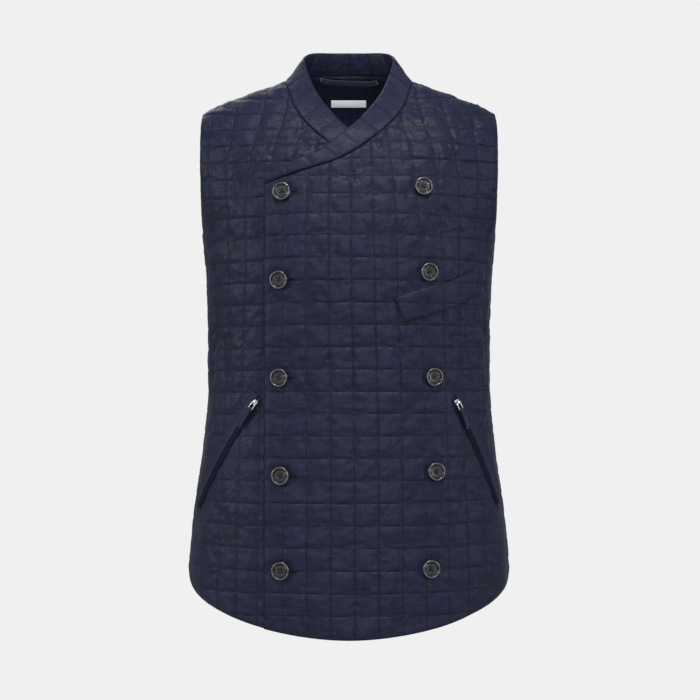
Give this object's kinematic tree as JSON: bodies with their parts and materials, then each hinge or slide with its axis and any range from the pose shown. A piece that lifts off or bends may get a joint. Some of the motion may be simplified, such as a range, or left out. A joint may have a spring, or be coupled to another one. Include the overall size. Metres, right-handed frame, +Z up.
{
  "type": "quilted vest",
  "caption": "Quilted sleeveless double-breasted vest with a wrap collar band, two columns of buttons, a chest welt pocket, slanted zip pockets and a curved hem, worn form",
  "frame": {"origin": "midway between the two side neck points, where the shoulder seams meet the collar and the wearer's shoulders carry the vest", "axes": "+X to the wearer's left, -Y to the wearer's front, +Z up"},
  "size_m": [0.4158, 0.2878, 0.7598],
  "materials": {
    "quilted_nylon": "satin, quilted",
    "navy_tape": "matt woven",
    "dark_button": "polished",
    "zip_metal": "polished",
    "white_label": "satin"
  },
  "bodies": {
    "vest": {"collar": "quilted_nylon", "left_front": "quilted_nylon", "right_front": "quilted_nylon", "back_panel": "quilted_nylon", "chest_welt": "quilted_nylon", "left_pocket_welt": "quilted_nylon", "right_pocket_welt": "quilted_nylon", "left_zip_tape": "navy_tape", "right_zip_tape": "navy_tape", "left_zip_slider": "zip_metal", "right_zip_slider": "zip_metal", "hanger_loop": "navy_tape", "neck_label": "white_label", "button_a1": "dark_button", "button_a2": "dark_button", "button_a3": "dark_button", "button_a4": "dark_button", "button_a5": "dark_button", "button_b1": "dark_button", "button_b2": "dark_button", "button_b3": "dark_button", "button_b4": "dark_button", "button_b5": "dark_button"},
    "left_pull": {"left_zip_pull": "zip_metal", "left_zip_tab": "navy_tape"},
    "right_pull": {"right_zip_pull": "zip_metal", "right_zip_tab": "navy_tape"}
  },
  "joints": [
    {"name": "left_pull_swing", "type": "hinge", "parent": "vest", "child": "left_pull", "pos_m": [0.13736, -0.10571, -0.41692], "axis": [-0.6843, -0.4988, -0.532], "range_deg": [0, 150]},
    {"name": "right_pull_swing", "type": "hinge", "parent": "vest", "child": "right_pull", "pos_m": [-0.11878, -0.11329, -0.4169], "axis": [-0.6959, 0.3872, 0.6048], "range_deg": [0, 150]}
  ]
}
